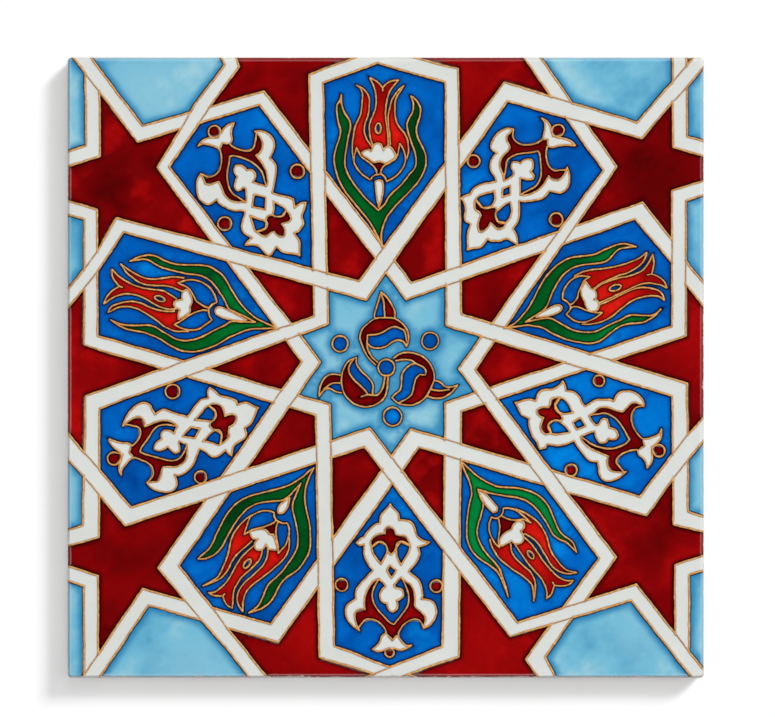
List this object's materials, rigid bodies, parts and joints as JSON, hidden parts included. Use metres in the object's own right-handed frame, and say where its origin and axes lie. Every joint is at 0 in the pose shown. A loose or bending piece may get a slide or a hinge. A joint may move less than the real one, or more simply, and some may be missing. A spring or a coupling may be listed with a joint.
{
  "type": "glazed wall tile",
  "caption": "Glazed ceramic wall tile with interlaced star strapwork, tulips and palmettes in blue, red, green, turquoise and white between raised gold lines.",
  "frame": {"origin": "middle of the bed face", "axes": "+Z out of the glazed face, +Y to the top of the pattern, +X to its right"},
  "size_m": [0.2, 0.195, 0.008],
  "materials": {
    "white_glaze": "gloss",
    "cobalt_glaze": "gloss",
    "turquoise_glaze": "gloss",
    "ruby_glaze": "gloss",
    "coral_glaze": "gloss",
    "green_glaze": "gloss",
    "gold_line": "satin",
    "biscuit": "matte"
  },
  "bodies": {
    "root": {"tile": "white_glaze"}
  },
  "joints": []
}
